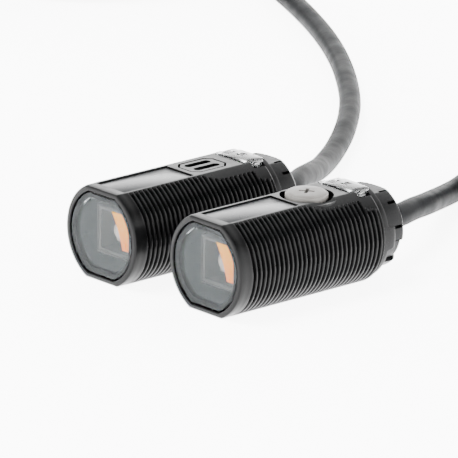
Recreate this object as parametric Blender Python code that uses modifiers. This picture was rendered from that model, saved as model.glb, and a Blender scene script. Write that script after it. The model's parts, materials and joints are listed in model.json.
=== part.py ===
"""Through-beam photoelectric sensor: an M18 receiver head and an M18 emitter head, each with its cable.

Both heads look along -Y and rest on their bottom flats at z = 0. In a head's own frame, y = 0 is the
front face, +Y runs back to the cable and z = 0 is the thread's axis.
"""

import math

import bmesh
import bpy
from mathutils import Vector
from mathutils.geometry import interpolate_bezier

MM = 0.001
GAP = 0.3 * MM

# Barrel: M18 x 1 thread with a flat along the top and the bottom.
CREST_RADIUS = 8.95 * MM
ROOT_RADIUS = 8.35 * MM
PITCH = 1.0 * MM
GROOVES = 30
FIRST_GROOVE = 2.75 * MM
BEZEL_RADIUS = 8.9 * MM
BARREL_LENGTH = 34.7 * MM
BORE_RADIUS = 6.9 * MM
FLAT_HEIGHT = 8.0 * MM
COLLAR_RADIUS = 8.4 * MM
PAD_RADIUS = 8.8 * MM
PAD_START = 19.5 * MM
PAD_LOW = 7.0 * MM
BEZEL_CHAMFER = 0.4 * MM
COLLAR_CHAMFER = 0.5 * MM

# Front recess, lens and gasket.
RECESS_RADIUS = 7.9 * MM
RECESS_FLAT = 7.15 * MM
RECESS_DEPTH = 2.0 * MM
SEAT_GAP = 0.15 * MM
LENS_FRONT = 0.15 * MM
LENS_PLATE = 1.0 * MM
LENS_DOME_RADIUS = 6.0 * MM
LENS_DOME_HEIGHT = 2.4 * MM
GASKET_WALL = 0.75 * MM
DOME_OVERLAP = 0.4 * MM

# Openings in the top flat.
LABEL_HALF_WIDTH = 3.55 * MM
LABEL_START = 2.05 * MM
LABEL_END = 17.6 * MM
LABEL_FLOOR = 7.45 * MM
LABEL_THICKNESS = 0.2 * MM
LABEL_GLUE = 0.1 * MM
ADJUSTER_Y = 22.5 * MM
WELL_RADIUS = 4.55 * MM
WELL_FLOOR = 6.3 * MM
WELL_BOSS_RADIUS = 5.3 * MM
WELL_BOSS_LOW = 5.6 * MM
WELL_BOSS_TOP = 7.2 * MM
OPENING_LOW = 5.0 * MM
WINDOW_HALF_WIDTH = 3.85 * MM
WINDOW_START = 28.4 * MM
WINDOW_END = 33.3 * MM
BLANK_HALF_WIDTH = 2.7 * MM
BLANK_HALF_LENGTH = 3.8 * MM
BLANK_LOW = 6.5 * MM
BLANK_SINK = 0.1 * MM
BLANK_CORNER = 1.2 * MM
BLANK_SLOT_X = 1.0 * MM
BLANK_SLOT_HALF_WIDTH = 0.55 * MM
BLANK_SLOT_HALF_LENGTH = 2.4 * MM
BLANK_SLOT_DEPTH = 0.7 * MM

# Sensitivity adjuster.
KNOB_RADIUS = 3.6 * MM
KNOB_LOW = 7.25 * MM
KNOB_TOP = 8.65 * MM
STEM_RADIUS = 1.1 * MM
ROTOR_RADIUS = 1.8 * MM
TRIMMER_HALF = 2.7 * MM
TRIMMER_TOP = 5.2 * MM
ROTOR_TOP = 5.0 * MM
SOCKET_HALF = 0.95 * MM
SOCKET_FLOOR = 0.5 * MM
BLADE_ROOT = 1.0 * MM
KNOB_RIM_DROP = 0.35 * MM
KNOB_ROUNDING = 0.1 * MM
KNOB_CROWN = ((1.8 * MM, 0.03 * MM), (2.9 * MM, 0.13 * MM))
KNOB_SLOT_HALF_LENGTH = 1.6 * MM
KNOB_SLOT_HALF_WIDTH = 0.35 * MM
KNOB_SLOT_DEPTH = 0.6 * MM
SEAL_RADIUS = 2.0 * MM
SEAL_SECTION = 0.3 * MM

# Circuit board.
BOARD_START = 12.8 * MM
BOARD_END = 32.6 * MM
BOARD_HALF_WIDTH = 5.9 * MM
BOARD_LOW = 0.9 * MM
BOARD_TOP = 1.9 * MM
ROTOR_LOW = BOARD_TOP + 1.2 * MM
CHIP_PLACE = ((-2.0 * MM, 14.2 * MM), (2.0 * MM, 18.2 * MM))
CHIP_HEIGHT = 1.0 * MM
DRIVER_PLACE = ((-5.4 * MM, 24.8 * MM), (-3.2 * MM, 27.6 * MM))
DRIVER_HEIGHT = 1.1 * MM
CAPACITOR_PLACE = (-3.9 * MM, 16.2 * MM)
CAPACITOR_RADIUS = 1.2 * MM
CAPACITOR_HEIGHT = 1.9 * MM

# End cap, bush and cable.
CAP_START = 35.0 * MM
CAP_END = 38.5 * MM
CAP_RADIUS = 7.3 * MM
CAP_PLUG_RADIUS = 6.6 * MM
CAP_HOLE_RADIUS = 3.2 * MM
CAP_PLUG_END = 33.5 * MM
CAP_TOP_HEIGHT = 6.5 * MM
CAP_ROUNDING = 1.0 * MM
CAP_SLOT_HALF_WIDTH = 0.25 * MM
CAP_SLOT_DEPTH = 0.7 * MM
CAP_SLOT_START = 36.1 * MM
CAP_SLOT_END = 37.7 * MM
CAP_CUT_OVERLAP = 0.1 * MM
BUSH_START = 33.0 * MM
BUSH_INSET = 0.1 * MM
BUSH_OUTER = 2.9 * MM
BUSH_INNER = 2.3 * MM
CABLE_DIAMETER = 4.0 * MM
CABLE_START = 33.4 * MM
CORE_DIAMETER = 1.2 * MM

# Each cable's length, and the coil of what isn't laid out: turns lie four across and four high.
CABLE_LENGTH = 2000 * MM
COIL_TURNS = 14
COIL_SECTION = 4 * CABLE_DIAMETER
TIE_WIDTH = 5.0 * MM
TIE_THICKNESS = 0.7 * MM
CORE_LENGTH = 30 * MM
CORE_CLEARANCE = 0.05 * MM

# Places of the two heads.
AXIS_HEIGHT = FLAT_HEIGHT
FLOOR = -AXIS_HEIGHT
HEAD_SPACING = 23.7 * MM
HEAD_STAGGER = 2.1 * MM
OVERALL_DEPTH = CAP_END + HEAD_STAGGER
RECEIVER_FRONT = -OVERALL_DEPTH / 2 + HEAD_STAGGER
EMITTER_FRONT = -OVERALL_DEPTH / 2

SEGMENTS = 24
SMALL_SEGMENTS = 16
LENS_SEGMENTS = 32
BIG = 30 * MM


def clear_scene():
    for obj in list(bpy.data.objects):
        bpy.data.objects.remove(obj)


def new_collection(name):
    collection = bpy.data.collections.new(name)
    bpy.context.scene.collection.children.link(collection)
    return collection


clear_scene()
PARTS = new_collection("photoelectric_sensor")
CUTTERS = new_collection("cutters")
CUTTERS.hide_render = True


def material(name, color, roughness, metallic=0.0, alpha=1.0):
    made = bpy.data.materials.new(name)
    made.use_nodes = True
    shader = made.node_tree.nodes["Principled BSDF"]
    shader.inputs["Base Color"].default_value = (*color, 1.0)
    shader.inputs["Roughness"].default_value = roughness
    shader.inputs["Metallic"].default_value = metallic
    shader.inputs["Alpha"].default_value = alpha
    made.diffuse_color = (*color, alpha)
    return made


BLACK_PLASTIC = (0.018, 0.018, 0.020)
DARK_RUBBER = (0.03, 0.03, 0.03)
CABLE_GREY = (0.12, 0.12, 0.125)
PALE_PLASTIC = (0.70, 0.69, 0.66)
CLEAR_PLASTIC = (0.85, 0.88, 0.88)
LABEL_SILVER = (0.55, 0.56, 0.56)
BOARD_GREEN = (0.02, 0.12, 0.05)
AMBER_FILM = (0.85, 0.35, 0.03)
CHIP_BLACK = (0.02, 0.02, 0.02)
LEAD_COLORS = {"brown": (0.16, 0.06, 0.02), "black": (0.01, 0.01, 0.01), "blue": (0.02, 0.07, 0.35)}


def add_object(name, data, head, paint, cutter=False):
    """Puts the object in its collection, on its head's empty. A cutter is never rendered."""
    obj = bpy.data.objects.new(name, data)
    (CUTTERS if cutter else PARTS).objects.link(obj)
    obj.parent = head
    if cutter:
        obj.hide_render = True
        obj.display_type = "WIRE"
    elif paint:
        color, roughness = paint[0], paint[1]
        metallic = paint[2] if len(paint) > 2 else 0.0
        alpha = paint[3] if len(paint) > 3 else 1.0
        data.materials.append(material(name, color, roughness, metallic, alpha))
    return obj


def smooth(mesh):
    mesh.shade_smooth()
    mesh.set_sharp_from_angle(angle=math.radians(35))


def mesh_from(name, bm):
    bmesh.ops.recalc_face_normals(bm, faces=bm.faces)
    mesh = bpy.data.meshes.new(name)
    bm.to_mesh(mesh)
    bm.free()
    return mesh


def box(head, name, low, high, paint=None, cutter=False):
    low, high = Vector(low), Vector(high)
    bm = bmesh.new()
    bmesh.ops.create_cube(bm, size=1.0)
    bmesh.ops.scale(bm, vec=high - low, verts=bm.verts)
    bmesh.ops.translate(bm, vec=(low + high) / 2, verts=bm.verts)
    return add_object(name, mesh_from(name, bm), head, paint, cutter)


def post(head, name, radius, center, low, high, paint=None, cutter=False, segments=SEGMENTS):
    """An upright cylinder about the vertical line through center = (x, y)."""
    bm = bmesh.new()
    bmesh.ops.create_cone(
        bm, cap_ends=True, segments=segments, radius1=radius, radius2=radius, depth=high - low
    )
    bmesh.ops.translate(bm, vec=(*center, (low + high) / 2), verts=bm.verts)
    mesh = mesh_from(name, bm)
    smooth(mesh)
    return add_object(name, mesh, head, paint, cutter)


def flatted_cylinder(head, name, radius, half_height, front, rear, paint=None, cutter=False):
    """A cylinder along Y with a flat at the top and at the bottom."""
    bm = bmesh.new()
    bmesh.ops.create_cone(
        bm, cap_ends=True, segments=LENS_SEGMENTS, radius1=radius, radius2=radius, depth=rear - front
    )
    for vertex in bm.verts:
        vertex.co = Vector((vertex.co.x, vertex.co.z + (front + rear) / 2, vertex.co.y))
    for side in (1, -1):
        everything = bm.verts[:] + bm.edges[:] + bm.faces[:]
        cut = bmesh.ops.bisect_plane(
            bm, geom=everything, plane_co=(0, 0, side * half_height), plane_no=(0, 0, side), clear_outer=True
        )
        rim = [item for item in cut["geom_cut"] if isinstance(item, bmesh.types.BMEdge)]
        bmesh.ops.contextual_create(bm, geom=rim)
    mesh = mesh_from(name, bm)
    smooth(mesh)
    return add_object(name, mesh, head, paint, cutter)


def turned(head, name, profile, paint=None, cutter=False, segments=SEGMENTS, ring=True, axis="Y"):
    """A shape turned about Y or Z. Its (radius, height) points run from the high end down the outer side."""
    count = len(profile)
    edges = [(index, (index + 1) % count) for index in range(count if ring else count - 1)]
    mesh = bpy.data.meshes.new(name)
    points = [(radius, height, 0) if axis == "Y" else (radius, 0, height) for radius, height in profile]
    mesh.from_pydata(points, edges, [])
    obj = add_object(name, mesh, head, paint, cutter)
    screw = obj.modifiers.new("Turn", "SCREW")
    screw.axis = axis
    screw.steps = screw.render_steps = segments
    screw.use_merge_vertices = True
    screw.merge_threshold = 0.00001
    screw.use_smooth_shade = False
    return obj


def flat_outline(head, name, points, thickness, paint):
    """A flat piece in the head's YZ plane, from (y, z) outline points, centred on x = 0."""
    curve = bpy.data.curves.new(name, "CURVE")
    curve.dimensions = "2D"
    curve.fill_mode = "BOTH"
    curve.extrude = thickness / 2
    spline = curve.splines.new("POLY")
    spline.points.add(len(points) - 1)
    for target, (y, z) in zip(spline.points, points):
        target.co = (y, z, 0, 1)
    spline.use_cyclic_u = True
    obj = add_object(name, curve, head, paint)
    obj.rotation_euler = (math.radians(90), 0, math.radians(90))
    return obj


def boolean(obj, cutter, operation="DIFFERENCE"):
    made = obj.modifiers.new(cutter.name, "BOOLEAN")
    made.operation = operation
    made.object = cutter


def cut_away(obj, cutters):
    """Cuts all the cutters from the object at once."""
    group = bpy.data.collections.new(obj.name + "_cutters")
    CUTTERS.children.link(group)
    for cutter in cutters:
        CUTTERS.objects.unlink(cutter)
        group.objects.link(cutter)
    made = obj.modifiers.new("Cut away", "BOOLEAN")
    made.operand_type = "COLLECTION"
    made.collection = group


def smooth_path(route, spacing):
    """Points about one spacing apart on a Catmull-Rom curve through the route's own points."""
    points = [Vector(point) for point in route]
    ends = [points[0] * 2 - points[1], *points, points[-1] * 2 - points[-2]]
    made = []
    for before, start, end, after in zip(ends, ends[1:], ends[2:], ends[3:]):
        steps = max(1, round((end - start).length / spacing))
        tangent_in, tangent_out = (end - before) / 6, (after - start) / 6
        made += interpolate_bezier(start, start + tangent_in, end - tangent_out, end, steps + 1)[:-1]
    return made + [points[-1]]


def tube(head, name, points, diameter, paint, resolution=2):
    curve = bpy.data.curves.new(name, "CURVE")
    curve.dimensions = "3D"
    curve.bevel_depth = diameter / 2
    curve.bevel_resolution = resolution
    curve.use_fill_caps = True
    spline = curve.splines.new("POLY")
    spline.points.add(len(points) - 1)
    for target, point in zip(spline.points, points):
        target.co = (*point, 1)
    return add_object(name, curve, head, paint)


def thread_profile():
    """Rear to front: a smooth collar, the thread's crests and roots, and the bezel."""
    last_groove = FIRST_GROOVE + (GROOVES - 1) * PITCH
    points = [
        (COLLAR_RADIUS - COLLAR_CHAMFER, BARREL_LENGTH),
        (COLLAR_RADIUS, BARREL_LENGTH - COLLAR_CHAMFER),
        (COLLAR_RADIUS, last_groove + 0.8 * PITCH),
    ]
    for index in reversed(range(GROOVES)):
        groove = FIRST_GROOVE + index * PITCH
        points += [(CREST_RADIUS, groove + PITCH / 2), (ROOT_RADIUS, groove)]
    points += [
        (BEZEL_RADIUS, FIRST_GROOVE - PITCH / 2),
        (BEZEL_RADIUS, BEZEL_CHAMFER),
        (BEZEL_RADIUS - BEZEL_CHAMFER, 0),
        (BORE_RADIUS, 0),
        (BORE_RADIUS, BARREL_LENGTH),
    ]
    return points


def smooth_pads(head, prefix):
    """The unthreaded shoulders beside the rear half of the top flat."""
    end = FIRST_GROOVE + (GROOVES - 0.5) * PITCH
    core = [(0, end), (PAD_RADIUS, end), (PAD_RADIUS, PAD_START), (0, PAD_START)]
    pads = turned(head, prefix + "_smooth_pads", core, cutter=True, ring=False)
    boolean(pads, box(head, prefix + "_pad_limit", (-BIG, 0, -BIG), (BIG, BIG + end, PAD_LOW), cutter=True))
    return pads


def barrel_case(head, prefix, boss, top_opening):
    case = turned(head, prefix + "_barrel_case", thread_profile(), (BLACK_PLASTIC, 0.35))
    boolean(case, smooth_pads(head, prefix), "UNION")
    for piece in boss:
        boolean(case, piece, "UNION")
    flats = []
    for side, name in ((1, "top"), (-1, "bottom")):
        low, high = sorted((side * FLAT_HEIGHT, side * BIG))
        corners = ((-BIG, -BIG, low), (BIG, BARREL_LENGTH + BIG, high))
        flats.append(box(head, f"{prefix}_{name}_flat", *corners, cutter=True))
    recess = flatted_cylinder(
        head, prefix + "_front_recess", RECESS_RADIUS, RECESS_FLAT, -BIG, RECESS_DEPTH, cutter=True
    )
    label = box(
        head,
        prefix + "_label_pocket",
        (-LABEL_HALF_WIDTH, LABEL_START, LABEL_FLOOR),
        (LABEL_HALF_WIDTH, LABEL_END, BIG),
        cutter=True,
    )
    window = box(
        head,
        prefix + "_window_opening",
        (-WINDOW_HALF_WIDTH, WINDOW_START, OPENING_LOW),
        (WINDOW_HALF_WIDTH, WINDOW_END, BIG),
        cutter=True,
    )
    cut_away(case, [*flats, recess, label, window, *top_opening])


def adjuster_opening(head, prefix):
    """The boss and the cutters of a round well for the knob, with a floor that its stem goes through."""
    center = (0, ADJUSTER_Y)
    boss = post(
        head, prefix + "_well_boss", WELL_BOSS_RADIUS, center, WELL_BOSS_LOW, WELL_BOSS_TOP, cutter=True
    )
    well = post(head, prefix + "_well", WELL_RADIUS, center, WELL_FLOOR, BIG, cutter=True)
    stem_hole = post(
        head, prefix + "_stem_hole", STEM_RADIUS + GAP, center, 0, BIG, cutter=True, segments=SMALL_SEGMENTS
    )
    return [boss], [well, stem_hole]


def lens_and_gasket(head, prefix):
    """A front plate with flats, and behind it a dome that gathers the beam."""
    radius, half_height = RECESS_RADIUS - GAP, RECESS_FLAT - GAP
    plate_end = LENS_FRONT + LENS_PLATE
    lens = flatted_cylinder(
        head,
        prefix + "_front_lens",
        radius,
        half_height,
        LENS_FRONT,
        plate_end,
        (CLEAR_PLASTIC, 0.05, 0.0, 0.35),
    )
    arc_steps = 6
    sphere_radius = (LENS_DOME_RADIUS**2 + LENS_DOME_HEIGHT**2) / (2 * LENS_DOME_HEIGHT)
    half_angle = math.asin(LENS_DOME_RADIUS / sphere_radius)
    sphere_center = plate_end + LENS_DOME_HEIGHT - sphere_radius
    dome = []
    for step in range(arc_steps + 1):
        angle = half_angle * step / arc_steps
        dome.append((sphere_radius * math.sin(angle), sphere_center + sphere_radius * math.cos(angle)))
    dome += [(LENS_DOME_RADIUS, plate_end - DOME_OVERLAP), (0, plate_end - DOME_OVERLAP)]
    boolean(lens, turned(head, prefix + "_lens_dome", dome, cutter=True, ring=False), "UNION")

    gasket = flatted_cylinder(
        head,
        prefix + "_lens_gasket",
        radius,
        half_height,
        plate_end + SEAT_GAP,
        RECESS_DEPTH - SEAT_GAP,
        (DARK_RUBBER, 0.8),
    )
    inner = flatted_cylinder(
        head, prefix + "_gasket_opening", radius - GASKET_WALL, half_height - GASKET_WALL, 0, BIG, cutter=True
    )
    boolean(gasket, inner)


HOLDER_HALF = 4.2 * MM
HOLDER_WALL = 0.8 * MM
HOLDER_START = 4.6 * MM
HOLDER_END = 10.6 * MM
CHIP_FRONT = 8.4 * MM
CHIP_HALF = 2.4 * MM
CHIP_DOME_RADIUS = 1.9 * MM
CHIP_DOME_OVERLAP = 0.5 * MM
FILM_FRONT = 4.5 * MM
FILM_REAR = 11.2 * MM
TONGUE_END = 12.4 * MM
FILM_HALF = 3.6 * MM
TONGUE_HALF = 1.4 * MM
FILM_THICKNESS = 0.2 * MM


def optics(head, prefix, device):
    """A square baffle box behind the lens, with the optical device on its rear wall."""
    inside = HOLDER_HALF - HOLDER_WALL
    holder = box(
        head,
        prefix + "_optics_holder",
        (-HOLDER_HALF, HOLDER_START, -HOLDER_HALF),
        (HOLDER_HALF, HOLDER_END, HOLDER_HALF),
        (BLACK_PLASTIC, 0.5),
    )
    cavity = box(
        head,
        prefix + "_holder_cavity",
        (-inside, 0, -inside),
        (inside, HOLDER_END - HOLDER_WALL, inside),
        cutter=True,
    )
    boolean(holder, cavity)

    chip_rear = HOLDER_END - HOLDER_WALL - GAP
    chip = box(
        head,
        f"{prefix}_{device}",
        (-CHIP_HALF, CHIP_FRONT, -CHIP_HALF),
        (CHIP_HALF, chip_rear, CHIP_HALF),
        (PALE_PLASTIC, 0.3),
    )
    steps = 5
    dome = []
    for step in range(steps + 1):
        angle = math.pi / 2 * (1 - step / steps)
        dome.append((CHIP_DOME_RADIUS * math.cos(angle), CHIP_FRONT - CHIP_DOME_RADIUS * math.sin(angle)))
    dome_base = CHIP_FRONT + CHIP_DOME_OVERLAP
    profile = [(0, dome_base), (CHIP_DOME_RADIUS, dome_base), *reversed(dome)]
    boolean(
        chip,
        turned(head, f"{prefix}_{device}_dome", profile, cutter=True, segments=SMALL_SEGMENTS, ring=False),
        "UNION",
    )

    film = flat_outline(
        head,
        prefix + "_flex_circuit",
        [
            (FILM_FRONT, -FILM_HALF),
            (FILM_REAR, -FILM_HALF),
            (FILM_REAR, -TONGUE_HALF),
            (TONGUE_END, -TONGUE_HALF),
            (TONGUE_END, TONGUE_HALF),
            (FILM_REAR, TONGUE_HALF),
            (FILM_REAR, FILM_HALF),
            (FILM_FRONT, FILM_HALF),
        ],
        FILM_THICKNESS,
        (AMBER_FILM, 0.35),
    )
    film.location = (HOLDER_HALF + 2 * GAP, 0, 0)


def board(head, prefix, chip_name, has_driver):
    top = BOARD_TOP + GAP
    box(
        head,
        prefix + "_main_pcb",
        (-BOARD_HALF_WIDTH, BOARD_START, BOARD_LOW),
        (BOARD_HALF_WIDTH, BOARD_END, BOARD_TOP),
        (BOARD_GREEN, 0.4),
    )
    box(
        head,
        f"{prefix}_{chip_name}",
        (*CHIP_PLACE[0], top),
        (*CHIP_PLACE[1], top + CHIP_HEIGHT),
        (CHIP_BLACK, 0.4),
    )
    post(
        head,
        prefix + "_capacitor",
        CAPACITOR_RADIUS,
        CAPACITOR_PLACE,
        top,
        top + CAPACITOR_HEIGHT,
        (LABEL_SILVER, 0.3, 0.8),
        segments=SMALL_SEGMENTS,
    )
    if has_driver:
        box(
            head,
            prefix + "_output_driver",
            (*DRIVER_PLACE[0], top),
            (*DRIVER_PLACE[1], top + DRIVER_HEIGHT),
            (CHIP_BLACK, 0.4),
        )


LIGHT_GUIDES = {"left": (-2.3 * MM, 30.6 * MM), "right": (0.3 * MM, 31.2 * MM)}
GUIDE_HALF = 0.6 * MM
GUIDE_LOW = 4.2 * MM
GUIDE_TOP = 7.3 * MM
LED_HEIGHT = 1.4 * MM
LED_HALF_WIDTH = 0.5 * MM
LED_HALF_LENGTH = 0.8 * MM
WINDOW_PLATE_LOW = 6.9 * MM
WINDOW_PROUD = 0.05 * MM


def indicator(head, prefix, leds):
    """A clear window in the top flat, whose two light guides reach down to the LEDs on the board."""
    window = box(
        head,
        prefix + "_indicator_window",
        (-WINDOW_HALF_WIDTH + GAP, WINDOW_START + GAP, WINDOW_PLATE_LOW),
        (WINDOW_HALF_WIDTH - GAP, WINDOW_END - GAP, FLAT_HEIGHT + WINDOW_PROUD),
        (CLEAR_PLASTIC, 0.1, 0.0, 0.35),
    )
    for side, (x, y) in LIGHT_GUIDES.items():
        low = (x - GUIDE_HALF, y - GUIDE_HALF, GUIDE_LOW)
        high = (x + GUIDE_HALF, y + GUIDE_HALF, GUIDE_TOP)
        boolean(window, box(head, f"{prefix}_{side}_light_guide", low, high, cutter=True), "UNION")
    for name, side, color in leds:
        x, y = LIGHT_GUIDES[side]
        box(
            head,
            f"{prefix}_{name}",
            (x - LED_HALF_WIDTH, y - LED_HALF_LENGTH, BOARD_TOP + GAP),
            (x + LED_HALF_WIDTH, y + LED_HALF_LENGTH, BOARD_TOP + GAP + LED_HEIGHT),
            (color, 0.3),
        )


def label_plate(head, prefix):
    low = LABEL_FLOOR + LABEL_GLUE
    box(
        head,
        prefix + "_label_plate",
        (-LABEL_HALF_WIDTH + GAP, LABEL_START + GAP, low),
        (LABEL_HALF_WIDTH - GAP, LABEL_END - GAP, low + LABEL_THICKNESS),
        (LABEL_SILVER, 0.35, 0.4),
    )


def adjuster(head):
    """The trimmer, and the knob, seal and rotor that turn about the knob's upright axis."""
    trimmer = box(
        head,
        "trimmer_body",
        (-TRIMMER_HALF, ADJUSTER_Y - TRIMMER_HALF, BOARD_TOP + GAP),
        (TRIMMER_HALF, ADJUSTER_Y + TRIMMER_HALF, TRIMMER_TOP),
        (PALE_PLASTIC, 0.4),
    )
    cavity = post(
        head,
        "trimmer_cavity",
        ROTOR_RADIUS + GAP,
        (0, ADJUSTER_Y),
        ROTOR_LOW - GAP,
        BIG,
        cutter=True,
        segments=SMALL_SEGMENTS,
    )
    boolean(trimmer, cavity)

    rotor = post(
        head,
        "trimmer_rotor",
        ROTOR_RADIUS,
        (0, 0),
        ROTOR_LOW,
        ROTOR_TOP,
        (CHIP_BLACK, 0.5),
        segments=SMALL_SEGMENTS,
    )
    socket = box(
        head,
        "rotor_socket",
        (-SOCKET_HALF, -SOCKET_HALF, ROTOR_LOW + SOCKET_FLOOR),
        (SOCKET_HALF, SOCKET_HALF, BIG),
        cutter=True,
    )
    boolean(rotor, socket)

    rim = KNOB_TOP - KNOB_RIM_DROP
    knob = turned(
        head,
        "adjuster_knob",
        [
            (0, KNOB_TOP),
            *((radius, KNOB_TOP - drop) for radius, drop in KNOB_CROWN),
            (KNOB_RADIUS - KNOB_ROUNDING, rim + KNOB_ROUNDING),
            (KNOB_RADIUS, rim - KNOB_ROUNDING),
            (KNOB_RADIUS, KNOB_LOW),
            (STEM_RADIUS, KNOB_LOW),
            (STEM_RADIUS, ROTOR_TOP + GAP),
            (0, ROTOR_TOP + GAP),
        ],
        (PALE_PLASTIC, 0.35),
        ring=False,
        axis="Z",
    )
    blade_half = SOCKET_HALF - GAP
    blade = box(
        head,
        "knob_blade",
        (-blade_half, -blade_half, ROTOR_LOW + SOCKET_FLOOR + GAP),
        (blade_half, blade_half, ROTOR_TOP + BLADE_ROOT),
        cutter=True,
    )
    slots = []
    arm, half = KNOB_SLOT_HALF_LENGTH, KNOB_SLOT_HALF_WIDTH
    for across, along in ((half, arm), (arm, half)):
        corners = ((-across, -along, KNOB_TOP - KNOB_SLOT_DEPTH), (across, along, BIG))
        slots.append(box(head, "knob_slot", *corners, cutter=True))
    boolean(knob, blade, "UNION")
    cut_away(knob, slots)

    seal_height = (WELL_FLOOR + KNOB_LOW) / 2
    section = []
    sides = 6
    for step in range(sides):
        angle = math.pi / 2 - step * math.tau / sides
        across, up = SEAL_SECTION * math.cos(angle), SEAL_SECTION * math.sin(angle)
        section.append((SEAL_RADIUS + across, seal_height + up))
    seal = turned(head, "adjuster_oring", section, (DARK_RUBBER, 0.8), segments=SMALL_SEGMENTS, axis="Z")
    for piece in (rotor, socket, knob, blade, seal, *slots):
        piece.location.y = ADJUSTER_Y


def blanking_plug(head):
    """The emitter's plug where the receiver has its knob: an eight-sided plate with two long slots."""
    half_width, half_length, low = BLANK_HALF_WIDTH - GAP, BLANK_HALF_LENGTH - GAP, BLANK_LOW
    plug = box(
        head,
        "emitter_blanking_plug",
        (-half_width, ADJUSTER_Y - half_length, low),
        (half_width, ADJUSTER_Y + half_length, FLAT_HEIGHT - BLANK_SINK),
        (BLACK_PLASTIC, 0.4),
    )
    corner_cut = plug.modifiers.new("Corners", "BEVEL")
    corner_cut.width = BLANK_CORNER
    corner_cut.segments = 1
    corner_cut.limit_method = "WEIGHT"
    weights = plug.data.attributes.new("bevel_weight_edge", "FLOAT", "EDGE")
    for edge in plug.data.edges:
        start, end = (plug.data.vertices[index].co for index in edge.vertices)
        weights.data[edge.index].value = 1.0 if abs(start.z - end.z) > GAP else 0.0
    slot_half, slot_length = BLANK_SLOT_HALF_WIDTH, BLANK_SLOT_HALF_LENGTH
    slots = []
    for x in (-BLANK_SLOT_X, BLANK_SLOT_X):
        low_corner = (x - slot_half, ADJUSTER_Y - slot_length, FLAT_HEIGHT - BLANK_SLOT_DEPTH)
        high_corner = (x + slot_half, ADJUSTER_Y + slot_length, BIG)
        slots.append(box(head, "plug_slot", low_corner, high_corner, cutter=True))
    cut_away(plug, slots)


CAP_SLOT_ANGLES = (-10, 10, 44, 65, 115, 136, 170, 190, 224, 245, 295, 316)


def end_cap(head, prefix):
    """A plug in the barrel's rear with a rounded, slotted skirt, and the bush that grips the cable."""
    round_radius, steps = CAP_ROUNDING, 3
    shoulder = []
    for step in range(steps + 1):
        angle = math.pi / 2 * (1 - step / steps)
        shoulder.append(
            (
                CAP_RADIUS - round_radius * (1 - math.cos(angle)),
                CAP_END - round_radius * (1 - math.sin(angle)),
            )
        )
    profile = [
        (CAP_HOLE_RADIUS, CAP_END),
        *shoulder,
        (CAP_RADIUS, CAP_START),
        (CAP_PLUG_RADIUS, CAP_START),
        (CAP_PLUG_RADIUS, CAP_PLUG_END),
        (CAP_HOLE_RADIUS, CAP_PLUG_END),
    ]
    cap = turned(head, prefix + "_end_cap", profile, (BLACK_PLASTIC, 0.4))
    corners = ((-BIG, CAP_START - CAP_CUT_OVERLAP, CAP_TOP_HEIGHT), (BIG, BIG, BIG))
    cutters = [box(head, prefix + "_cap_top", *corners, cutter=True)]
    half_width, deep = CAP_SLOT_HALF_WIDTH, CAP_SLOT_DEPTH
    start, end = CAP_SLOT_START, CAP_SLOT_END
    for angle in CAP_SLOT_ANGLES:
        slot = box(
            head,
            prefix + "_cap_slot",
            (CAP_RADIUS - deep, start, -half_width),
            (CAP_RADIUS + deep, end, half_width),
            cutter=True,
        )
        slot.rotation_euler.y = -math.radians(angle)
        cutters.append(slot)
    cut_away(cap, cutters)

    bush = [
        (BUSH_INNER, CAP_END - BUSH_INSET),
        (BUSH_OUTER, CAP_END - BUSH_INSET),
        (BUSH_OUTER, BUSH_START),
        (BUSH_INNER, BUSH_START),
    ]
    turned(head, prefix + "_cable_bush", bush, (DARK_RUBBER, 0.8), segments=SMALL_SEGMENTS)


LEAD_ROUTE = (
    (2.6 * MM, 26.0 * MM, -0.1 * MM),
    (2.5 * MM, 28.0 * MM, -0.1 * MM),
    (1.6 * MM, 31.0 * MM, -0.4 * MM),
    (1.3 * MM, CABLE_START - GAP, -0.4 * MM),
)
LEAD_BEND = 1.5 * MM


def inner_leads(head, prefix, colors):
    """Short leads from the board's underside to the cores' places in the cable's inner end."""
    for index, color in enumerate(colors):
        side = index - (len(colors) - 1) / 2
        route = [(side * spread, y, z) for spread, y, z in LEAD_ROUTE]
        tube(
            head,
            f"{prefix}_lead_{color}",
            smooth_path(route, LEAD_BEND),
            CORE_DIAMETER,
            (LEAD_COLORS[color], 0.5),
        )


def from_axis(*places):
    """Route points given in millimetres, with heights measured from the floor."""
    return [(x * MM, y * MM, z * MM + FLOOR) for x, y, z in places]


# Each cable leaves the cap straight back, comes down to the floor and bends towards -X.
RECEIVER_ROUTE = from_axis(
    (0, 33.4, 8.0),
    (0, 38.5, 8.0),
    (-0.9, 44.2, 7.7),
    (-3.8, 50.5, 7.0),
    (-6.9, 56.3, 5.9),
    (-11.7, 63.8, 4.2),
    (-16.4, 71.2, 2.6),
    (-19.0, 76.4, 2.1),
    (-22.8, 84.1, 2.05),
    (-26.7, 91.0, 2.05),
)
EMITTER_ROUTE = from_axis(
    (0, 33.4, 8.0),
    (0, 38.5, 8.0),
    (-1.3, 43.6, 7.6),
    (-6.4, 51.3, 6.6),
    (-11.4, 58.3, 5.0),
    (-18.0, 66.9, 3.0),
    (-26.1, 77.6, 2.05),
    (-35.0, 88.5, 2.05),
    (-45.9, 99.8, 2.05),
    (-58.0, 110.2, 2.05),
    (-71.1, 120.0, 2.05),
    (-85.3, 129.1, 2.05),
    (-100.7, 137.5, 2.05),
    (-116.0, 144.8, 2.05),
    (-132.0, 151.5, 2.05),
    (-148.0, 157.0, 2.05),
)


def path_length(points):
    return sum((Vector(end) - Vector(start)).length for start, end in zip(points, points[1:]))


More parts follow.
